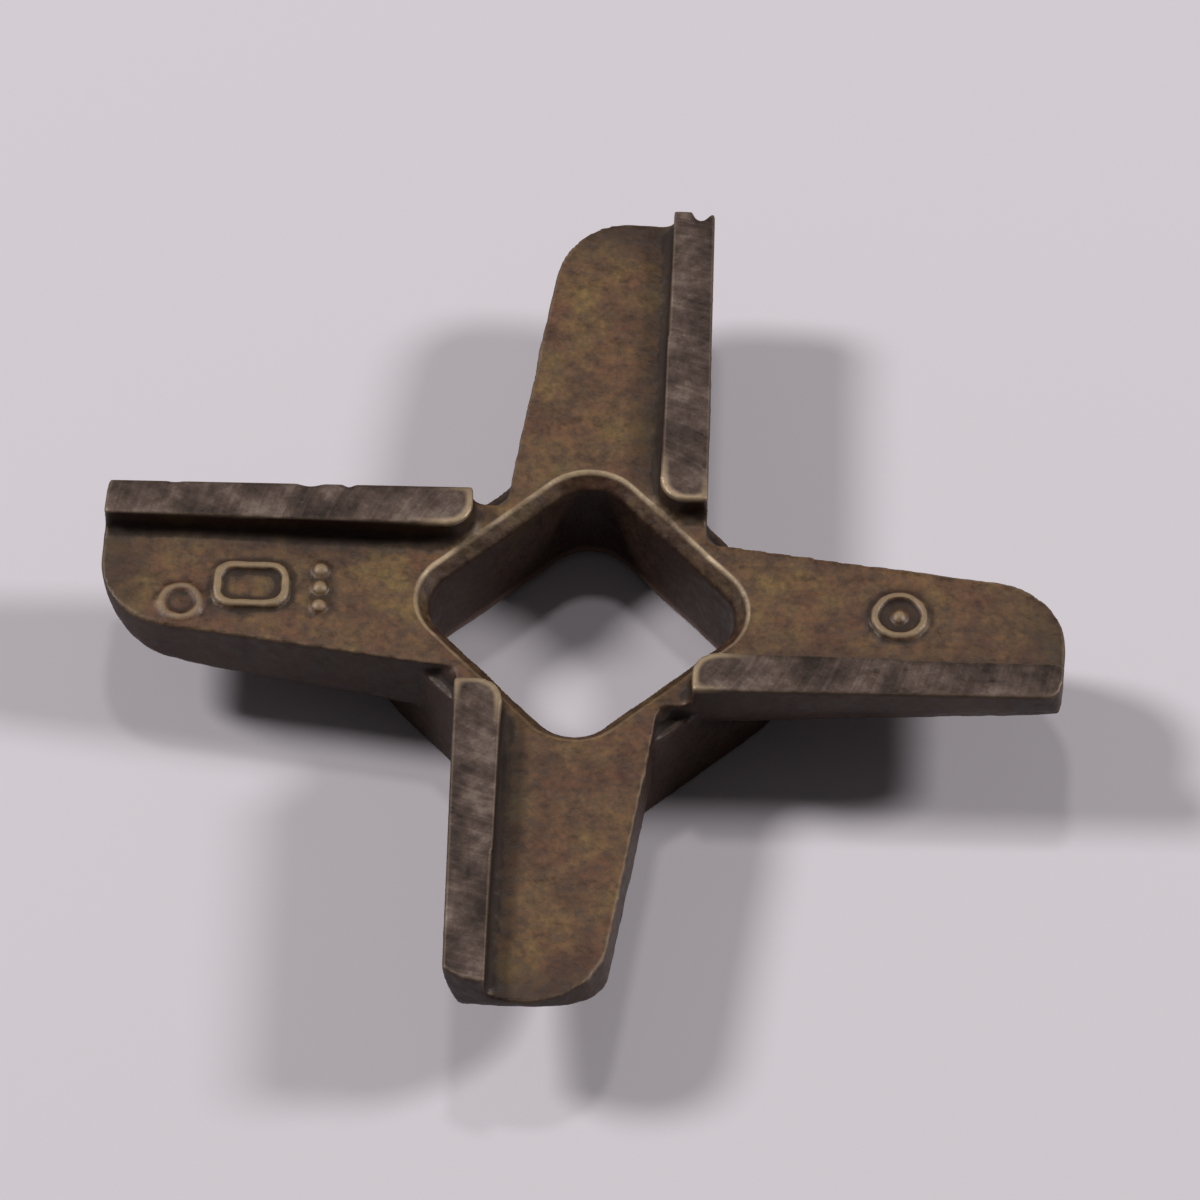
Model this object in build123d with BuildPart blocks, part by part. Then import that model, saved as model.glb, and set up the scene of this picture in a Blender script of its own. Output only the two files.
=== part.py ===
from build123d import *
from math import cos, radians, sin, tan
import os

os.makedirs("parts", exist_ok=True)

# Four-armed meat grinder knife, cast in one piece. The hub's flat back face lies on Z = 0, the
# square drive hole runs along Z, and the ground cutting lands on the arms face +Z.

# Overall sizes
tip_reach = 32.4  # axis to the crown of an arm's tip
arm_count = 4
hub_height = 8.7  # back face to the top of the hub
land_height = 10.6  # back face to the ground lands

# Drive hole
bore_side = 16.2  # square, wall to wall, for a 16 mm drive
bore_corner_radius = 3.0
bore_turn = 2.5  # degrees that the square is turned against the arms
rim_chamfer = 1.0
back_chamfer = 0.9

# Hub, whose top edge is rounded off in the notches between the arms
hub_wall = 3.2
hub_corner_radius = 5.6
hub_shoulder = 1.1
hub_root_radius = 1.0  # hollow curve under the arms
hub_back_radius = 0.5
collar_depth = 2.4
collar_taper = 30  # degrees
collar_margin = 0.6  # beyond the notch curves
notch_radius = 2.6

# Arms, in plan: the leading edge is straight, the trailing edge tapers towards the tip
leading_offset = 8.3
trailing_offset = 4.6
trailing_taper = 8.3  # degrees
tip_corner_radius = 5.2
tip_curve_radius = 60.0
tip_crown_offset = 2.2

# Arms, from the side: the top climbs a little towards the tip, the underside climbs more
tip_rise = 0.2
arm_root_thickness = 5.1
under_climb = 4.0  # degrees, the underside's rise from the hub outwards
tip_lift_length = 7.0  # over this length the underside curves up to the tip's edge
tip_edge_thickness = 0.6
leading_under_radius = 5.6
under_radius = 0.5

# Raised cutting land along the leading edge
land_start = 7.5  # from the axis to the land's inner end
land_root_width = 3.3
land_tip_width = 2.8
land_end_radius = 1.8
step_radius = 0.8

# Related sizes
bore_angle = 45 - bore_turn
hub_side = bore_side + 2 * hub_wall
rim_side = bore_side + 2 * rim_chamfer
rim_corner_radius = bore_corner_radius + rim_chamfer
arm_root = hub_side / 2 ** 0.5 - hub_corner_radius * (2 ** 0.5 - 1)
trailing_slope = tan(radians(trailing_taper))
trailing_centre = trailing_offset + arm_root * trailing_slope
trailing_end = trailing_centre - tip_reach * trailing_slope
tip_top = hub_height + tip_rise
root_under = hub_height - arm_root_thickness
under_angle = radians(under_climb)
centre_under = root_under - arm_root * tan(under_angle)
lift_start = tip_reach - tip_lift_length
lift_under = centre_under + lift_start * tan(under_angle)
leading_under_plane = Plane(
    origin=(leading_offset, 0, centre_under),
    x_dir=(1, 0, 0),
    z_dir=(0, cos(under_angle), sin(under_angle)),
)
notch_blend = notch_radius * (1 - cos(radians(45))) + collar_margin
land_inner_root = leading_offset - land_root_width
land_inner_tip = leading_offset - land_tip_width

# One arm, pointing along +Y, with its leading edge on the +X side
with BuildPart() as arm:
    with BuildSketch(Plane.YZ) as arm_side:
        with BuildLine():
            Polyline(
                (tip_reach, tip_top - tip_edge_thickness),
                (tip_reach, tip_top),
                (arm_root, hub_height),
                (0, hub_height),
                (0, centre_under),
                (lift_start, lift_under),
            )
            TangentArc(
                (lift_start, lift_under),
                (tip_reach, tip_top - tip_edge_thickness),
                tangent=(cos(under_angle), sin(under_angle)),
            )
        make_face()
    extrude(amount=tip_reach, both=True)

    with BuildSketch() as arm_plan:
        with BuildLine():
            Polyline(
                (leading_offset, 0),
                (leading_offset, tip_reach),
                (-trailing_end, tip_reach),
                (-trailing_centre, 0),
                close=True,
            )
        make_face()
        with Locations((tip_crown_offset, tip_reach - tip_curve_radius)):
            Circle(tip_curve_radius, mode=Mode.INTERSECT)
        fillet(arm_plan.vertices().sort_by(Axis.Y)[-2:].sort_by(Axis.X)[0], radius=tip_corner_radius)
    extrude(amount=land_height, mode=Mode.INTERSECT)

    # The land is a bar on the arm's top, flush with the leading and tip faces
    with BuildSketch(Plane.XY.offset(land_height)) as land_plan:
        with BuildLine():
            Polyline(
                (leading_offset, land_start),
                (leading_offset, tip_reach),
                (land_inner_tip, tip_reach),
                (land_inner_root, land_start),
                close=True,
            )
        make_face()
        with Locations((tip_crown_offset, tip_reach - tip_curve_radius)):
            Circle(tip_curve_radius, mode=Mode.INTERSECT)
        fillet(land_plan.vertices().sort_by(Axis.Y)[:2].sort_by(Axis.X)[0], radius=land_end_radius)
    extrude(amount=hub_height - land_height)

    # The step beside the land is a hollow curve where it meets the arm's top
    land_foot = arm.edges().filter_by_position(Axis.X, land_inner_root - under_radius, leading_offset - step_radius / 2)
    land_foot = land_foot.filter_by_position(Axis.Z, hub_height, tip_top)
    fillet(land_foot.filter_by_position(Axis.Y, land_start, tip_reach - step_radius), radius=step_radius)

    # The underside's edge is rounded a little along the trailing side and round the tip
    under_edges = arm.edges().filter_by_position(Axis.Z, 0, tip_top - tip_edge_thickness / 2)
    under_edges = under_edges.filter_by_position(Axis.X, -leading_offset, leading_offset - under_radius)
    under_edges = under_edges.filter_by_position(Axis.Y, under_radius, 2 * tip_reach)
    under_edges = under_edges.filter_by(Axis.X, reverse=True).filter_by(Axis.Z, reverse=True)
    fillet(under_edges, radius=under_radius)

    # A larger curve undercuts the leading edge
    with BuildSketch(leading_under_plane):
        Rectangle(2 * leading_under_radius, 2 * leading_under_radius)
        with Locations((-leading_under_radius, -leading_under_radius)):
            Circle(leading_under_radius, mode=Mode.SUBTRACT)
    extrude(amount=2 * tip_reach, mode=Mode.SUBTRACT)

# Collar: the top of the hub, blended into the arms' sides by a radius in each notch
with BuildPart() as collar:
    with BuildSketch(Plane.XY.offset(hub_height)) as collar_plan:
        RectangleRounded(hub_side, hub_side, hub_corner_radius, rotation=bore_angle)
        with PolarLocations(0, arm_count):
            add(arm_plan.sketch)
        notches = collar_plan.vertices().sort_by_distance((0, 0))[: 2 * arm_count]
        fillet(notches, radius=notch_radius)
        RectangleRounded(
            hub_side + 2 * notch_blend,
            hub_side + 2 * notch_blend,
            hub_corner_radius + notch_blend,
            rotation=bore_angle,
            mode=Mode.INTERSECT,
        )
    extrude(amount=-collar_depth, taper=collar_taper)
    fillet(collar.faces().sort_by(Axis.Z)[-1].edges(), radius=hub_shoulder)

with BuildPart() as grinder_knife:
    with BuildSketch() as hub_plan:
        RectangleRounded(hub_side, hub_side, hub_corner_radius, rotation=bore_angle)
    extrude(amount=hub_height - hub_shoulder)
    fillet(grinder_knife.faces().sort_by(Axis.Z)[0].edges(), radius=hub_back_radius)
    add(collar.part)
    with PolarLocations(0, arm_count):
        add(arm.part)

    # The arms' undersides run into the hub with a hollow curve
    roots = grinder_knife.edges().filter_by_position(Axis.Z, root_under - under_radius, root_under + under_radius)
    fillet(roots.filter_by(lambda edge: edge.center().length < arm_root + under_radius), radius=hub_root_radius)

    # Drive hole: square and through, chamfered at the rim and at the back
    with BuildSketch() as bore_plan:
        RectangleRounded(bore_side, bore_side, bore_corner_radius, rotation=bore_angle)
    extrude(amount=land_height, mode=Mode.SUBTRACT)
    with BuildSketch(Plane.XY.offset(hub_height)) as rim_plan:
        RectangleRounded(rim_side, rim_side, rim_corner_radius, rotation=bore_angle)
    extrude(amount=land_height - hub_height, mode=Mode.SUBTRACT)
    extrude(rim_plan.sketch, amount=-rim_chamfer, taper=45, mode=Mode.SUBTRACT)
    back_edges = grinder_knife.faces().sort_by(Axis.Z)[0].inner_wires()[0].edges()
    chamfer(back_edges, length=back_chamfer)

grinder_knife.part.label = "grinder_knife"
export_step(grinder_knife.part, "parts/grinder_knife.step")
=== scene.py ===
from math import cos, pi, radians, sin

import bpy
import numpy
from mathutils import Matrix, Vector


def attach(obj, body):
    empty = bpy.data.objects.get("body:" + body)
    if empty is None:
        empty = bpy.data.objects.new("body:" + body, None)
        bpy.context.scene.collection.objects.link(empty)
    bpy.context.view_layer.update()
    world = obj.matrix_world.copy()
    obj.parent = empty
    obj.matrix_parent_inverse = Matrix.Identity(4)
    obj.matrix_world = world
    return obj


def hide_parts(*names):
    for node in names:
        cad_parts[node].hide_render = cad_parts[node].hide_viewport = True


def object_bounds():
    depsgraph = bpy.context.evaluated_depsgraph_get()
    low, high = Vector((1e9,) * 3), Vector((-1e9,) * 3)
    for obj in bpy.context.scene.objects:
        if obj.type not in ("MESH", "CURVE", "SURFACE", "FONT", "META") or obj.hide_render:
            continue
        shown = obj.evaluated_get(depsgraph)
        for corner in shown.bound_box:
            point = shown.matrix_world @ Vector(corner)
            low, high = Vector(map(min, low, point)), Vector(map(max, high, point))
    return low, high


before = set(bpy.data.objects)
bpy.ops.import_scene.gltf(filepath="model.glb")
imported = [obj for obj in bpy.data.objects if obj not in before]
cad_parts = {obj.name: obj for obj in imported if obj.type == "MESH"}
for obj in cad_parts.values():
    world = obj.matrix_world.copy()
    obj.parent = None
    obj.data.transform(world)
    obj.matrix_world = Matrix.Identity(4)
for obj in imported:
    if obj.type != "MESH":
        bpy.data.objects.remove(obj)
cad_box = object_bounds()

# The knife: one steel casting from a sand mould, with a square hub and four arms. The mould leaves
# a slightly uneven skin, which use has browned and filled with dirt. Only the lands along the
# leading edges are ground, and their edges are nicked.
mm = 0.001
land_top = 10.6 * mm  # the lands' ground faces
arm_top = 8.78 * mm  # the arms' tops, where the marks stand

bpy.ops.object.select_all(action="DESELECT")
knife = bpy.data.objects.new("knife_casting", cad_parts["grinder_knife"].data.copy())
bpy.context.scene.collection.objects.link(knife)
knife.select_set(True)
bpy.context.view_layer.objects.active = knife
bpy.ops.object.mode_set(mode="EDIT")
bpy.ops.mesh.select_all(action="SELECT")
same_point = 0.001 * mm
bpy.ops.mesh.remove_doubles(threshold=same_point)
bpy.ops.mesh.customdata_custom_splitnormals_clear()
bpy.ops.object.mode_set(mode="OBJECT")


def finish_modifier(piece, kind, **settings):
    """Adds one modifier to a piece, sets it and applies it."""
    modifier = piece.modifiers.new(kind.title(), kind)
    for name, value in settings.items():
        setattr(modifier, name, value)
    bpy.ops.object.select_all(action="DESELECT")
    piece.select_set(True)
    bpy.context.view_layer.objects.active = piece
    bpy.ops.object.modifier_apply(modifier=modifier.name)


def as_one(parts):
    """Joins several shells into the first of them."""
    bpy.ops.object.select_all(action="DESELECT")
    for part in parts:
        part.select_set(True)
    bpy.context.view_layer.objects.active = parts[0]
    bpy.ops.object.join()
    return parts[0]


# Plain marks cast on two arms: a ring round a stud on one, and a ring, a rounded frame and three
# studs in a row on the other. They stand a little proud, and the sand blurred them.
mark_height = 0.38 * mm
marks = []


def cast_stud(x, y, radius):
    """A low round stud. Its sizes, and those of the other marks, are in mm."""
    stud_place = (x * mm, y * mm, arm_top)
    flatness = mark_height / (radius * mm)
    bpy.ops.mesh.primitive_uv_sphere_add(segments=24, ring_count=12, radius=radius * mm, location=stud_place)
    bpy.ops.object.mode_set(mode="EDIT")
    bpy.ops.transform.resize(value=(1, 1, flatness), center_override=stud_place)
    bpy.ops.object.mode_set(mode="OBJECT")
    marks.append(bpy.context.object)


def cast_ring(x, y, radius, rib):
    """A round rib, half sunk in the arm's top."""
    bpy.ops.mesh.primitive_torus_add(
        location=(x * mm, y * mm, arm_top),
        major_radius=radius * mm,
        minor_radius=rib / 2 * mm,
        major_segments=48,
        minor_segments=10,
    )
    marks.append(bpy.context.object)


def cast_frame(x, y, width, length, rib):
    """A rib round a rectangle with rounded corners."""
    frame_place = (x * mm, y * mm, arm_top)
    corner_length = 2 * rib * mm
    rib_round = 0.3 * rib * mm
    bpy.ops.mesh.primitive_plane_add(size=1, location=frame_place)
    bpy.ops.object.mode_set(mode="EDIT")
    bpy.ops.transform.resize(value=(width * mm, length * mm, 1), center_override=frame_place)
    bpy.ops.mesh.bevel(offset=corner_length, segments=4, affect="VERTICES")
    bpy.ops.mesh.select_all(action="SELECT")
    bpy.ops.mesh.inset(thickness=rib * mm)
    bpy.ops.mesh.delete(type="FACE")
    bpy.ops.object.mode_set(mode="OBJECT")
    frame_rib = bpy.context.object
    finish_modifier(frame_rib, "SOLIDIFY", thickness=2 * mark_height, offset=0)
    finish_modifier(frame_rib, "BEVEL", width=rib_round, segments=2)
    marks.append(frame_rib)


cast_ring(x=21.3, y=-0.6, radius=1.65, rib=0.75)
cast_stud(x=21.3, y=-0.6, radius=0.6)
cast_ring(x=-26.9, y=-0.6, radius=1.3, rib=0.7)
cast_frame(x=-22.2, y=0.9, width=5.2, length=3.8, rib=0.65)
for y in (2.3, 0.8, -0.7):
    cast_stud(x=-17.6, y=y, radius=0.6)
marks = as_one(marks)
finish_modifier(knife, "BOOLEAN", operation="UNION", object=marks, solver="EXACT")
bpy.data.objects.remove(marks)

# Wear: a broken land tip, chips along the lands' edges, shallow pits, and tip corners worn back
hollows = [
    # x, y and z, then half the width, length and depth, in mm: first the broken tip and the chips
    (7.35, 32.65, 10.7, 0.70, 1.25, 1.30),
    (-27.6, 8.72, 10.6, 1.10, 0.60, 0.50),
    (-18.5, 8.80, 10.6, 1.30, 0.80, 0.60),
    (-15.9, 8.85, 10.6, 0.55, 0.90, 0.60),
    (-11.2, 8.80, 10.6, 0.70, 0.60, 0.40),
    (19.75, -6.3, 10.95, 0.60, 0.45, 0.50),
    (21.7, -6.1, 10.95, 0.45, 0.55, 0.48),
    (27.5, -6.9, 10.95, 0.70, 0.45, 0.50),
    # Pits along an arm's trailing edge and on the arms' tops
    (2.1, -30.5, 8.9, 0.35, 0.60, 0.60),
    (3.0, -28.1, 8.9, 0.35, 0.80, 0.60),
    (3.9, -25.7, 8.9, 0.40, 0.55, 0.60),
    (1.8, 22.5, 9.1, 0.55, 0.45, 0.45),
    (3.2, 14.9, 9.1, 0.45, 0.60, 0.45),
    (-2.55, 14.3, 9.1, 0.60, 0.45, 0.45),
    (16.9, -3.3, 9.1, 0.60, 0.45, 0.45),
    (-13.4, 4.1, 9.1, 0.45, 0.60, 0.45),
]
worn_corners = [
    # x and y of a point on each worn face in mm, and the way it faces in degrees
    (-7.3, -31.55, 240),
    (-5.0, -32.15, 258),
    (-1.34, -32.1, -70),
    (0.46, -31.15, -55),
    (1.86, -29.6, -30),
    (32.02, -7.58, -20),
    (31.77, -7.98, -45),
    (31.37, -8.23, -70),
]
cutters = []
for x, y, z, width, length, depth in hollows:
    bpy.ops.mesh.primitive_ico_sphere_add(
        subdivisions=2, radius=mm, location=(x * mm, y * mm, z * mm), scale=(width, length, depth)
    )
    cutters.append(bpy.context.object)
corner_block = 8 * mm  # side of the block that takes off a corner
block_height = 7.5 * mm  # its middle, so that it spans the arm's whole thickness
for x, y, facing in worn_corners:
    outward = Vector((cos(radians(facing)), sin(radians(facing)), 0))
    bpy.ops.mesh.primitive_cube_add(
        size=corner_block,
        location=Vector((x * mm, y * mm, block_height)) + outward * corner_block / 2,
        rotation=(0, 0, radians(facing)),
    )
    cutters.append(bpy.context.object)
hollow_cutter = as_one(cutters)
finish_modifier(
    knife, "BOOLEAN", operation="DIFFERENCE", object=hollow_cutter, solver="EXACT", use_self=True
)
bpy.data.objects.remove(hollow_cutter)

# The skin: an even grid laid on that form, softened by sand and use. Below the ground lands it is
# wavy and grainy, and it stays inside the casting's overall size.
skin_grid = 0.24 * mm
cast_form = bpy.data.objects.new("cast_form", knife.data.copy())
bpy.context.scene.collection.objects.link(cast_form)
finish_modifier(knife, "REMESH", mode="VOXEL", voxel_size=skin_grid, adaptivity=0)
finish_modifier(knife, "SHRINKWRAP", target=cast_form, wrap_method="NEAREST_SURFACEPOINT")
bpy.data.objects.remove(cast_form)
finish_modifier(knife, "SMOOTH", factor=0.5, iterations=3)

ground_depth = 0.4 * mm
below_lands = [point.index for point in knife.data.vertices if point.co.z < land_top - ground_depth]
knife.vertex_groups.new(name="as_cast").add(below_lands, 1.0, "REPLACE")
mould_waves = bpy.data.textures.new("mould_waves", "CLOUDS")
mould_waves.noise_scale = 4.0 * mm
mould_waves.noise_depth = 1
sand_grain = bpy.data.textures.new("sand_grain", "CLOUDS")
sand_grain.noise_scale = 0.9 * mm
sand_grain.noise_depth = 2
sunk_share = 0.62  # of the unevenness, the rest stands proud
for grain, depth in ((mould_waves, 0.14 * mm), (sand_grain, 0.09 * mm)):
    finish_modifier(
        knife,
        "DISPLACE",
        texture=grain,
        texture_coords="LOCAL",
        strength=depth,
        mid_level=sunk_share,
        vertex_group="as_cast",
    )

low, high = cad_box
for point in knife.data.vertices:
    for axis in range(3):
        point.co[axis] = min(max(point.co[axis], low[axis]), high[axis])
bpy.ops.object.shade_smooth()


def hollow_depths(mesh, rounds):
    """How far each point lies below the shape that its neighbours would have if worn smooth."""
    count = len(mesh.vertices)
    points = numpy.empty(count * 3)
    mesh.vertices.foreach_get("co", points)
    points = points.reshape(count, 3)
    normals = numpy.empty(count * 3)
    mesh.vertices.foreach_get("normal", normals)
    ends = numpy.empty(len(mesh.edges) * 2, dtype=int)
    mesh.edges.foreach_get("vertices", ends)
    start, end = ends.reshape(-1, 2).T
    neighbours = numpy.bincount(start, minlength=count) + numpy.bincount(end, minlength=count)
    worn = points
    for _ in range(rounds):
        sums = [
            numpy.bincount(start, worn[end, axis], count) + numpy.bincount(end, worn[start, axis], count)
            for axis in range(3)
        ]
        worn = numpy.stack(sums, axis=1) / neighbours.reshape(count, 1)
    return ((worn - points) * normals.reshape(count, 3)).sum(axis=1)


# Maps on the skin: many rounds find the deep corners, which dirt and painted shade darken, and few find
# pits and edges, both in mm. The last map is how far the skin faces up.
for name, rounds in (("corner_depth", 140), ("pit_depth", 8)):
    depth_map = knife.data.attributes.new(name, "FLOAT", "POINT")
    depth_map.data.foreach_set("value", hollow_depths(knife.data, rounds) / mm)
facing_map = knife.data.attributes.new("facing_up", "FLOAT", "POINT")
facing_map.data.foreach_set("value", [point.normal.z for point in knife.data.vertices])


def sheet_colour(code):
    """An sRGB hex value as the linear colour that a shader takes."""
    parts = [int(code[i:i + 2], 16) / 255 for i in (0, 2, 4)]
    return tuple(p / 12.92 if p <= 0.04045 else ((p + 0.055) / 1.055) ** 2.4 for p in parts) + (1.0,)


def add_node(material, kind, sockets=None, **settings):
    """Adds one shader node: its settings, and for each socket a value or the output it is linked to."""
    node = material.node_tree.nodes.new(kind)
    for name, value in settings.items():
        setattr(node, name, value)
    for socket, value in (sockets or {}).items():
        if isinstance(value, bpy.types.NodeSocket):
            material.node_tree.links.new(value, node.inputs[socket])
        else:
            node.inputs[socket].default_value = value
    return node


# Browned cast steel: a thin oxide over a dull metal skin, olive and tan where it is handled and
# redder where it is thick. The sides and the drive hole keep their dark scale, with painted shade
# there and on low parts. Dirt and painted shade darken the corners, rubbed edges show bare metal,
# and a painted highlight runs along the hole's rim.
steel = bpy.data.materials.new("browned_cast_steel")
steel.use_nodes = True
steel.node_tree.nodes.clear()
place = add_node(steel, "ShaderNodeTexCoord").outputs["Object"]
place_parts = add_node(steel, "ShaderNodeSeparateXYZ", {"Vector": place})
flat_place = add_node(steel, "ShaderNodeVectorMath", {0: place, 1: (1, 1, 0)}, operation="MULTIPLY")
flat_place = flat_place.outputs[0]

# The rim of the drive hole is a rounded square, turned a little against the arms. Below, past_rim
# is how far a point lies outside it.
rim_straight = 5.1 * mm
rim_corner = 4.0 * mm
rim_turn = radians(-42.5)
turned = add_node(steel, "ShaderNodeVectorRotate", {
    "Vector": flat_place,
    "Angle": rim_turn,
}, rotation_type="Z_AXIS")
folded = add_node(steel, "ShaderNodeVectorMath", {0: turned.outputs[0]}, operation="ABSOLUTE")
past_straight = add_node(steel, "ShaderNodeVectorMath", {
    0: folded.outputs[0],
    1: (rim_straight, rim_straight, 0),
}, operation="SUBTRACT")
past_corner = add_node(steel, "ShaderNodeVectorMath", {
    0: past_straight.outputs[0],
    1: (0, 0, 0),
}, operation="MAXIMUM")
rim_distance = add_node(steel, "ShaderNodeVectorMath", {0: past_corner.outputs[0]}, operation="LENGTH")

# What the masks read: places, the maps on the skin, and grains by their size. Oxide, rust and stain
# lie in patches. Speckle and grit are the sand's grain, about 0.2 mm in a real mould, drawn coarser
# so that it shows.
read = {
    "height": place_parts.outputs["Z"],
    "to_back": place_parts.outputs["Y"],
    "radius": add_node(steel, "ShaderNodeVectorMath", {0: flat_place}, operation="LENGTH").outputs["Value"],
    "past_rim": add_node(steel, "ShaderNodeMath", {
        0: rim_distance.outputs["Value"],
        1: rim_corner,
    }, operation="SUBTRACT").outputs["Value"],
}
for name in ("corner_depth", "pit_depth", "facing_up"):
    read[name] = add_node(steel, "ShaderNodeAttribute", attribute_name=name).outputs["Fac"]
for name, grain_size, detail, roughness in (
    ("oxide", 3.4 * mm, 5, 0.66),
    ("rust", 4.6 * mm, 5, 0.65),
    ("speckle", 0.7 * mm, 4, 0.65),
    ("stain", 3.6 * mm, 5, 0.70),
    ("grit", 0.4 * mm, 3, 0.50),
):
    read[name] = add_node(steel, "ShaderNodeTexNoise", {
        "Vector": place,
        "Scale": 1 / grain_size,
        "Detail": detail,
        "Roughness": roughness,
    }).outputs["Fac"]

# The lands' faint arcs round the axis come from the plate that the knife turns against. Their
# scratches are finer than 0.1 mm, and are drawn coarser so that they show among the stains.
arc_spacing = 0.5 * mm
arc_share = 0.15
read["arcs"] = add_node(steel, "ShaderNodeTexNoise", {
    "W": read["radius"],
    "Scale": 1 / arc_spacing,
    "Detail": 3,
    "Roughness": 0.7,
}, noise_dimensions="1D").outputs["Fac"]
read["land_tone"] = add_node(steel, "ShaderNodeMix", {
    0: arc_share,
    2: read["stain"],
    3: read["arcs"],
}, data_type="FLOAT").outputs[0]

# Each mask goes from its low share to its high one while what it reads goes from start to end
mask = {"speckle_share": read["speckle"]}
for name, source, start, end, low_share, high_share in (
    # Rust in patches, a fine speckle, tarnish at the arms' tips, and the ground lands
    ("rust", "rust", 0.48, 0.64, 0, 0.5),
    ("speckle", "speckle", 0.36, 0.64, 0.60, 1.34),
    ("tips", "radius", 28.5 * mm, 31.5 * mm, 0, 0.6),
    ("on_land", "height", land_top - 0.30 * mm, land_top - 0.10 * mm, 0, 1),
    # Dark scale and painted shade on all that faces sideways or lies low, a little thinner towards the tips
    ("turned_away", "facing_up", 0.93, 0.45, 0, 1),
    ("below_top", "height", 8.3 * mm, 7.4 * mm, 0, 1),
    ("scale_and_shade_fade", "radius", 16 * mm, 28 * mm, 0.8, 0.74),
    # A paler band at the foot of the hole's walls
    ("inside_hole", "past_rim", -0.75 * mm, -0.95 * mm, 0, 1),
    ("hole_bottom", "height", 1.7 * mm, 1.2 * mm, 0, 0.6),
    # Sharp edges, and the lands' inner ends
    ("sharp_edge", "pit_depth", -0.10, -0.22, 0, 0.4),
    ("soft_edge", "pit_depth", -0.03, -0.09, 0, 1),
    ("land_end", "radius", 13 * mm, 10.5 * mm, 0, 0.7),
    ("land_height", "height", land_top - 0.4 * mm, land_top - 0.2 * mm, 0, 1),
    # A painted highlight: a thin line along the hole's rim, in patches and stronger at the back
    ("rim_inner", "past_rim", -0.26 * mm, -0.10 * mm, 0, 1),
    ("rim_outer", "past_rim", 0.16 * mm, 0.04 * mm, 0, 1),
    ("rim_patches", "rust", 0.36, 0.60, 0.25, 1),
    ("rim_highlight_back", "to_back", -6 * mm, 2 * mm, 0.3, 1),
    # The tops of the cast marks
    ("mark_edge", "pit_depth", -0.01, -0.04, 0, 0.42),
    ("faces_up", "facing_up", 0.5, 0.85, 0, 1),
    ("over_arm", "height", 8.90 * mm, 9.05 * mm, 0, 1),
    ("under_land", "height", 9.50 * mm, 9.35 * mm, 0, 1),
    # All rubbing, and the rim's painted highlight, are on the top side only
    ("on_top", "height", 8.3 * mm, 8.5 * mm, 0, 1),
    # Dirt and painted shade in the corners, thinner towards the tips, and in the pits
    ("corner", "corner_depth", 0.10, 0.60, 0, 0.88),
    ("dirt_and_shade_fade", "radius", 15 * mm, 30 * mm, 1, 0.6),
    ("pit", "pit_depth", 0.015, 0.07, 0, 0.75),
    # The shine of the skin, and how much bare metal shows through it
    ("gloss", "speckle", 0.35, 0.65, 0.44, 0.62),
    ("metal", "height", land_top - 0.30 * mm, land_top - 0.10 * mm, 0.2, 0.5),
):
    mask[name] = add_node(steel, "ShaderNodeMapRange", {
        "Value": read[source],
        "From Min": start,
        "From Max": end,
        "To Min": low_share,
        "To Max": high_share,
    }).outputs["Result"]

# Masks made of others: what multiplies has to hold in each, and of a maximum the strongest shows
for name, operation, sources in (
    ("side_scale_and_shade", "MAXIMUM", ("turned_away", "below_top")),
    ("scale", "MULTIPLY", ("side_scale_and_shade", "scale_and_shade_fade")),
    ("hole_foot", "MULTIPLY", ("inside_hole", "hole_bottom")),
    ("edge_rub", "MULTIPLY", ("sharp_edge", "speckle_share")),
    ("land_rub", "MULTIPLY", ("soft_edge", "land_end", "land_height")),
    ("rim_highlight", "MULTIPLY", ("rim_inner", "rim_outer", "rim_patches", "rim_highlight_back")),
    ("mark_rub", "MULTIPLY", ("mark_edge", "faces_up", "over_arm", "under_land")),
    ("top_rub_and_highlight", "MAXIMUM", ("edge_rub", "land_rub", "rim_highlight", "mark_rub")),
    ("bare_metal_and_highlight", "MULTIPLY", ("top_rub_and_highlight", "on_top")),
    ("packed_dirt_and_shade", "MULTIPLY", ("corner", "dirt_and_shade_fade")),
    ("dirt_and_shade", "MAXIMUM", ("packed_dirt_and_shade", "pit")),
    ("roughness", "MAXIMUM", ("gloss", "dirt_and_shade")),
):
    mask[name] = mask[sources[0]]
    for source in sources[1:]:
        joined = add_node(steel, "ShaderNodeMath", {0: mask[name], 1: mask[source]}, operation=operation)
        mask[name] = joined.outputs["Value"]

# Two grounds: the brown oxide of the cast skin, and on the lands greyer metal with brown stains
grounds = []
for source, steps in (
    ("oxide", ((0.32, "482f1e"), (0.45, "573d28"), (0.55, "62482c"), (0.68, "6d5630"))),
    ("land_tone", ((0.38, "2b1f19"), (0.47, "46362f"), (0.54, "57463e"), (0.64, "75645a"))),
):
    ramp = add_node(steel, "ShaderNodeValToRGB", {"Fac": read[source]})
    while len(ramp.color_ramp.elements) < len(steps):
        ramp.color_ramp.elements.new(0.5)
    for element, (position, code) in zip(ramp.color_ramp.elements, steps):
        element.position = position
        element.color = sheet_colour(code)
    grounds.append(ramp.outputs["Color"])
cast_ground, land_ground = grounds

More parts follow.
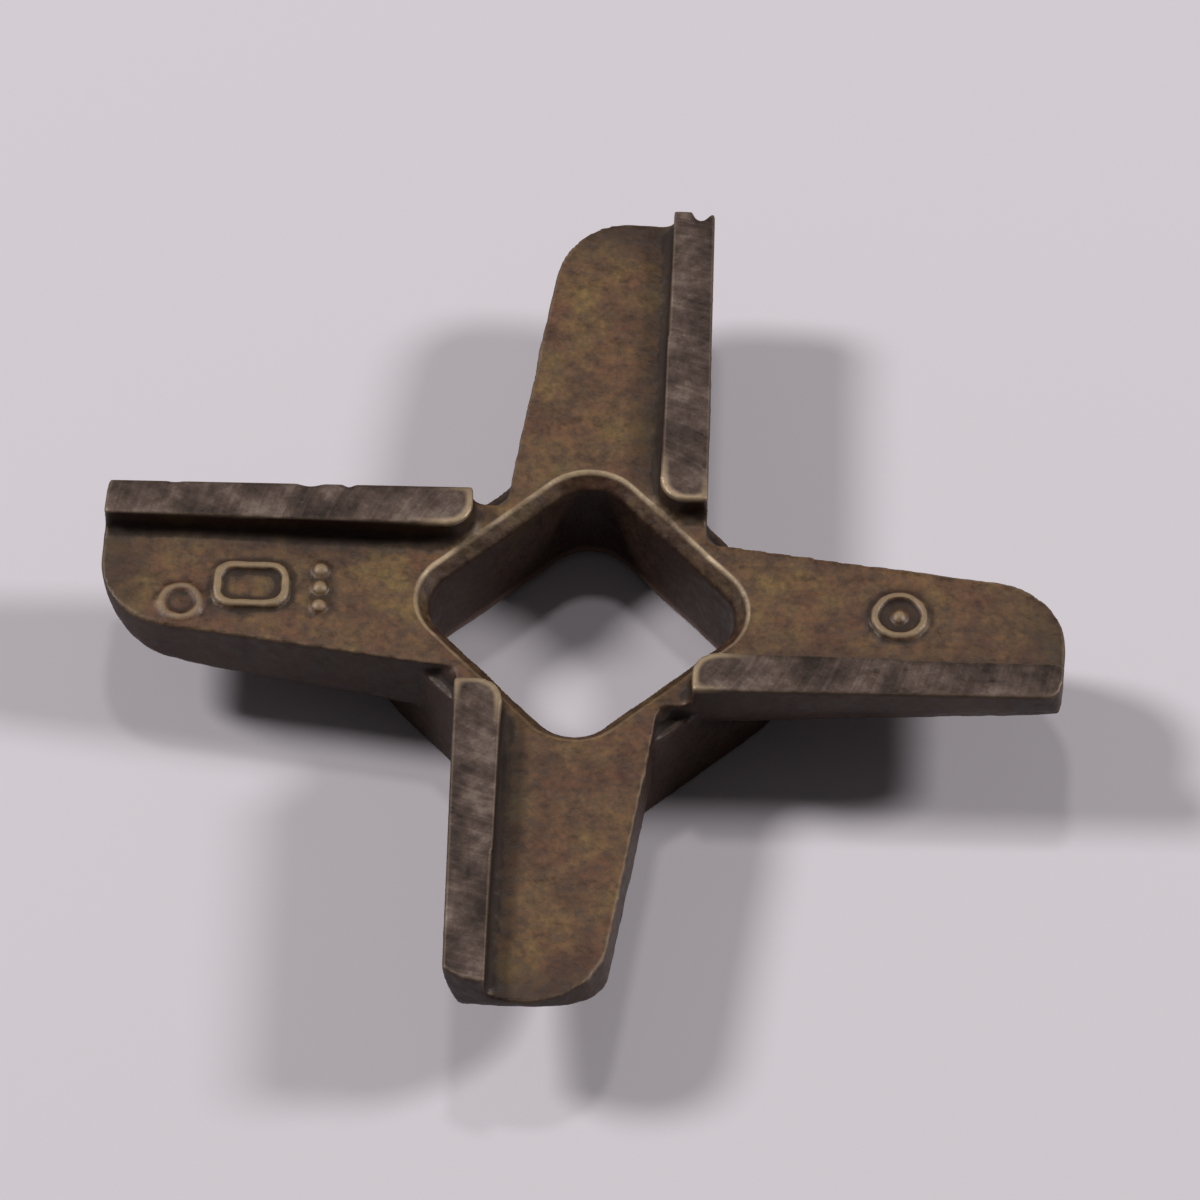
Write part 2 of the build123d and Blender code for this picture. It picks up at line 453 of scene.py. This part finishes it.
# The colours lie over each other in the order in which the knife took them on; painted shade and a
# painted highlight ride with the scale, the bare metal and the dirt
skin = cast_ground
for blend, share, colour in (
    ("MIX", mask["rust"], sheet_colour("593425")),  # red rust
    ("MULTIPLY", 1.0, mask["speckle"]),
    ("MIX", mask["tips"], sheet_colour("291b14")),  # dark tarnish
    ("MIX", mask["on_land"], land_ground),
    ("MIX", mask["scale"], sheet_colour("26150f")),  # dark casting scale, with painted shade on the sides and low parts
    ("MIX", mask["hole_foot"], sheet_colour("7d6255")),  # paler band at the foot of the hole's walls
    ("MIX", mask["bare_metal_and_highlight"], sheet_colour("b39b7c")),  # bare metal, yellowed by grease, and the rim's painted highlight
    ("MIX", mask["dirt_and_shade"], sheet_colour("1e120d")),  # old fat and dirt, with painted shade in the corners and pits
):
    skin = add_node(steel, "ShaderNodeMix", {
        0: share,
        6: skin,
        7: colour,
    }, data_type="RGBA", blend_type=blend).outputs[2]

grit_height = 0.08 * mm
grit_bump = add_node(steel, "ShaderNodeBump", {
    "Height": read["grit"],
    "Strength": 0.45,
    "Distance": grit_height,
})
shader = add_node(steel, "ShaderNodeBsdfPrincipled", {
    "Base Color": skin,
    "Roughness": mask["roughness"],
    "Metallic": mask["metal"],
    "Normal": grit_bump.outputs["Normal"],
})
add_node(steel, "ShaderNodeOutputMaterial", {"Surface": shader.outputs["BSDF"]})
knife.data.materials.clear()
knife.data.materials.append(steel)

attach(knife, "root")
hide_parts("grinder_knife")

# The table under it, which isn't part of the knife: a plain laminate top, pale and matt, so that
# it shows soft shadows and no shine
table_side = 2
bpy.ops.mesh.primitive_plane_add(size=table_side, location=(0, 0, 0))
floor = bpy.context.object
floor.name = "floor"
table = bpy.data.materials.new("matt_pale_laminate")
table.use_nodes = True
table.node_tree.nodes.clear()
table_shader = add_node(table, "ShaderNodeBsdfPrincipled", {
    "Base Color": sheet_colour("d0c9cf"),
    "Roughness": 0.9,
})
add_node(table, "ShaderNodeOutputMaterial", {"Surface": table_shader.outputs["BSDF"]})
floor.data.materials.append(table)

# Three soft lamps behind the knife, low on the left and right and high at the back, in an even
# pale room. Each lamp gives its share of the light on the table, where a share of 1 is the light
# that shows a colour as it is written.
lamp_distance = 1.2
for name, azimuth, elevation, width, share in (
    ("lamp_left", 163, 44, 0.28, 0.46),
    ("lamp_right", 12, 38, 0.28, 0.35),
    ("lamp_back", 95, 66, 0.12, 0.12),
):
    level, height = cos(radians(elevation)), sin(radians(elevation))
    lamp_data = bpy.data.lights.new(name, "AREA")
    lamp_data.shape = "DISK"
    lamp_data.size = width
    lamp_data.energy = share * (pi * lamp_distance) ** 2 / height
    lamp = bpy.data.objects.new(name, lamp_data)
    bpy.context.scene.collection.objects.link(lamp)
    direction = Vector((cos(radians(azimuth)) * level, sin(radians(azimuth)) * level, height))
    lamp.location = direction * lamp_distance
    lamp.rotation_euler = (-direction).to_track_quat("-Z", "Y").to_euler()

room = bpy.data.worlds.new("pale_room")
room.use_nodes = True
room_light = room.node_tree.nodes["Background"]
room_light.inputs["Color"].default_value = sheet_colour("f2f0f2")
room_light.inputs["Strength"].default_value = 0.08
bpy.context.scene.world = room
bpy.context.scene.view_settings.view_transform = "Standard"

# The camera looks down on the knife from the front, with a long lens
camera_data = bpy.data.cameras.new("camera")
camera_data.lens = 321.76
camera_data.sensor_width = 36
camera_data.clip_start = 0.01
camera_data.clip_end = 20
camera = bpy.data.objects.new("camera", camera_data)
bpy.context.scene.collection.objects.link(camera)
camera.location = (12.32 * mm, -424.5 * mm, 588.6 * mm)
aim = Vector((1.247 * mm, -1.015 * mm, land_top))
camera.rotation_euler = (aim - camera.location).to_track_quat("-Z", "Y").to_euler()
bpy.context.scene.camera = camera
